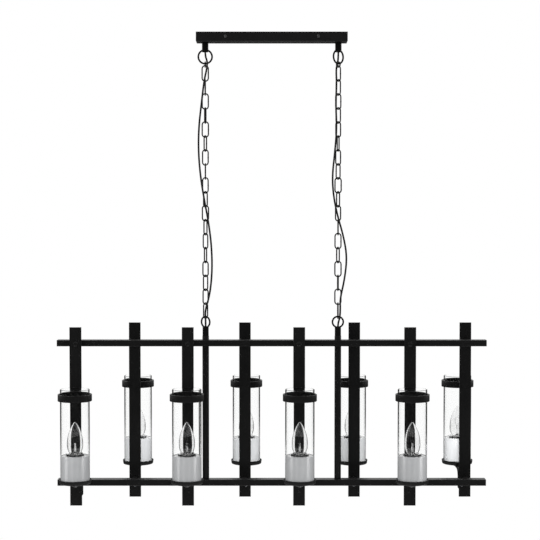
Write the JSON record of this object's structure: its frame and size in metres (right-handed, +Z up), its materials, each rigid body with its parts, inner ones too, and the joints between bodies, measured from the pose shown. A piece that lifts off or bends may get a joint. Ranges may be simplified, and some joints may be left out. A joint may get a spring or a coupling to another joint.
{
  "type": "linear island pendant",
  "caption": "Linear pendant for a kitchen island: two rails crossed by flat bars that carry glass cylinders with candle bulbs, hung on two chains from a long canopy.",
  "frame": {"origin": "middle of the ceiling bracket's face on the ceiling", "axes": "+Z up, +X along the rails, -Y the side the picture was taken from"},
  "size_m": [0.9724, 0.2988, 1.0635],
  "materials": {
    "black_metal": "satin black",
    "dark_chrome": "polished",
    "zinc_steel": "zinc plated",
    "clear_glass": "clear",
    "opal_glass": "satin opal",
    "bulb_glass": "clear",
    "cord_black": "smooth sheath",
    "lead_brown": "smooth",
    "terminal_white": "moulded"
  },
  "bodies": {
    "ceiling": {"ceiling_bracket": "zinc_steel", "canopy": "black_metal", "canopy_screws": "black_metal", "canopy_locknuts": "zinc_steel", "terminal_block": "terminal_white", "earth_screw": "zinc_steel", "canopy_leads": "lead_brown", "canopy_loop_left": "black_metal", "canopy_loop_right": "black_metal"},
    "frame": {"frame_loop_left": "black_metal", "frame_loop_right": "black_metal", "stem_left": "black_metal", "stem_right": "black_metal", "stem_leads": "lead_brown", "top_rail": "black_metal", "bottom_rail": "black_metal", "rail_end_caps": "black_metal", "bar_1": "black_metal", "bar_2": "black_metal", "bar_3": "black_metal", "bar_4": "black_metal", "bar_5": "black_metal", "bar_6": "black_metal", "bar_7": "black_metal", "bar_8": "black_metal", "bar_spacers": "black_metal", "bar_bolts": "black_metal", "glass_rings": "black_metal", "ring_screws": "black_metal", "candle_arms": "black_metal", "arm_screws": "black_metal", "arm_nuts": "zinc_steel", "candle_dishes": "black_metal", "candle_sleeves": "opal_glass", "lampholders": "dark_chrome", "lampholder_nuts": "zinc_steel"},
    "left_jump_link": {"left_jump_ring": "black_metal"},
    "left_chain": {"left_chain_links": "black_metal", "cord_left": "cord_black"},
    "left_chain_end": {"left_lower_links": "black_metal"},
    "right_jump_link": {"right_jump_ring": "black_metal"},
    "right_chain": {"right_chain_links": "black_metal", "cord_right": "cord_black"},
    "right_chain_end": {"right_lower_links": "black_metal"},
    "glass_cylinder_1": {"glass_1": "clear_glass"},
    "candle_bulb_1": {"bulb_1": "bulb_glass"},
    "glass_cylinder_2": {"glass_2": "clear_glass"},
    "candle_bulb_2": {"bulb_2": "bulb_glass"},
    "glass_cylinder_3": {"glass_3": "clear_glass"},
    "candle_bulb_3": {"bulb_3": "bulb_glass"},
    "glass_cylinder_4": {"glass_4": "clear_glass"},
    "candle_bulb_4": {"bulb_4": "bulb_glass"},
    "glass_cylinder_5": {"glass_5": "clear_glass"},
    "candle_bulb_5": {"bulb_5": "bulb_glass"},
    "glass_cylinder_6": {"glass_6": "clear_glass"},
    "candle_bulb_6": {"bulb_6": "bulb_glass"},
    "glass_cylinder_7": {"glass_7": "clear_glass"},
    "candle_bulb_7": {"bulb_7": "bulb_glass"},
    "glass_cylinder_8": {"glass_8": "clear_glass"},
    "candle_bulb_8": {"bulb_8": "bulb_glass"}
  },
  "joints": [
    {"name": "left_swing", "type": "hinge", "parent": "ceiling", "child": "left_jump_link", "pos_m": [-0.15, 0, -0.069], "axis": [1, 0, 0], "range_deg": [-12, 12], "deforming": ["cord_left"]},
    {"name": "left_sway", "type": "hinge", "parent": "left_jump_link", "child": "left_chain", "pos_m": [-0.15, 0, -0.0767], "axis": [0, 1, 0], "range_deg": [-10, 10], "deforming": ["cord_left"]},
    {"name": "left_level", "type": "hinge", "parent": "left_chain", "child": "left_chain_end", "pos_m": [-0.15, 0, -0.5807], "axis": [0, 1, 0], "range_deg": [-10, 10], "deforming": ["cord_left"]},
    {"name": "right_swing", "type": "hinge", "parent": "ceiling", "child": "right_jump_link", "pos_m": [0.15, 0, -0.069], "axis": [1, 0, 0], "range_deg": [-12, 12], "deforming": ["cord_right"]},
    {"name": "right_sway", "type": "hinge", "parent": "right_jump_link", "child": "right_chain", "pos_m": [0.15, 0, -0.0767], "axis": [0, 1, 0], "range_deg": [-10, 10], "deforming": ["cord_right"]},
    {"name": "right_level", "type": "hinge", "parent": "right_chain", "child": "right_chain_end", "pos_m": [0.15, 0, -0.5807], "axis": [0, 1, 0], "range_deg": [-10, 10], "deforming": ["cord_right"]},
    {"name": "frame_tilt", "type": "hinge", "parent": "left_chain_end", "child": "frame", "pos_m": [-0.15, 0, -0.6399], "axis": [1, 0, 0], "range_deg": [-12, 12], "deforming": ["cord_left", "cord_right"]},
    {"name": "glass_1_lift", "type": "slide", "parent": "frame", "child": "glass_cylinder_1", "axis": [0, 0, 1], "range_m": [0, 0.21]},
    {"name": "glass_2_lift", "type": "slide", "parent": "frame", "child": "glass_cylinder_2", "axis": [0, 0, 1], "range_m": [0, 0.21]},
    {"name": "glass_3_lift", "type": "slide", "parent": "frame", "child": "glass_cylinder_3", "axis": [0, 0, 1], "range_m": [0, 0.21]},
    {"name": "glass_4_lift", "type": "slide", "parent": "frame", "child": "glass_cylinder_4", "axis": [0, 0, 1], "range_m": [0, 0.21]},
    {"name": "glass_5_lift", "type": "slide", "parent": "frame", "child": "glass_cylinder_5", "axis": [0, 0, 1], "range_m": [0, 0.21]},
    {"name": "glass_6_lift", "type": "slide", "parent": "frame", "child": "glass_cylinder_6", "axis": [0, 0, 1], "range_m": [0, 0.21]},
    {"name": "glass_7_lift", "type": "slide", "parent": "frame", "child": "glass_cylinder_7", "axis": [0, 0, 1], "range_m": [0, 0.21]},
    {"name": "glass_8_lift", "type": "slide", "parent": "frame", "child": "glass_cylinder_8", "axis": [0, 0, 1], "range_m": [0, 0.21]},
    {"name": "bulb_1_unscrew", "type": "hinge", "parent": "frame", "child": "candle_bulb_1", "pos_m": [-0.432, -0.112, -0.9981], "axis": [0, 0, 1], "range_deg": [0, 1080]},
    {"name": "bulb_2_unscrew", "type": "hinge", "parent": "frame", "child": "candle_bulb_2", "pos_m": [-0.3145, 0.112, -0.9926], "axis": [0, 0, 1], "range_deg": [0, 1080]},
    {"name": "bulb_3_unscrew", "type": "hinge", "parent": "frame", "child": "candle_bulb_3", "pos_m": [-0.1865, -0.112, -0.9981], "axis": [0, 0, 1], "range_deg": [0, 1080]},
    {"name": "bulb_4_unscrew", "type": "hinge", "parent": "frame", "child": "candle_bulb_4", "pos_m": [-0.0595, 0.112, -0.9926], "axis": [0, 0, 1], "range_deg": [0, 1080]},
    {"name": "bulb_5_unscrew", "type": "hinge", "parent": "frame", "child": "candle_bulb_5", "pos_m": [0.0615, -0.112, -0.9981], "axis": [0, 0, 1], "range_deg": [0, 1080]},
    {"name": "bulb_6_unscrew", "type": "hinge", "parent": "frame", "child": "candle_bulb_6", "pos_m": [0.1895, 0.112, -0.9926], "axis": [0, 0, 1], "range_deg": [0, 1080]},
    {"name": "bulb_7_unscrew", "type": "hinge", "parent": "frame", "child": "candle_bulb_7", "pos_m": [0.3085, -0.112, -0.9981], "axis": [0, 0, 1], "range_deg": [0, 1080]},
    {"name": "bulb_8_unscrew", "type": "hinge", "parent": "frame", "child": "candle_bulb_8", "pos_m": [0.437, 0.112, -0.9926], "axis": [0, 0, 1], "range_deg": [0, 1080]}
  ],
  "couplings": [
    {"joint": "left_level", "follows": "left_sway", "ratio": -1},
    {"joint": "right_swing", "follows": "left_swing", "ratio": 1},
    {"joint": "right_sway", "follows": "left_sway", "ratio": 1},
    {"joint": "right_level", "follows": "left_sway", "ratio": -1}
  ]
}
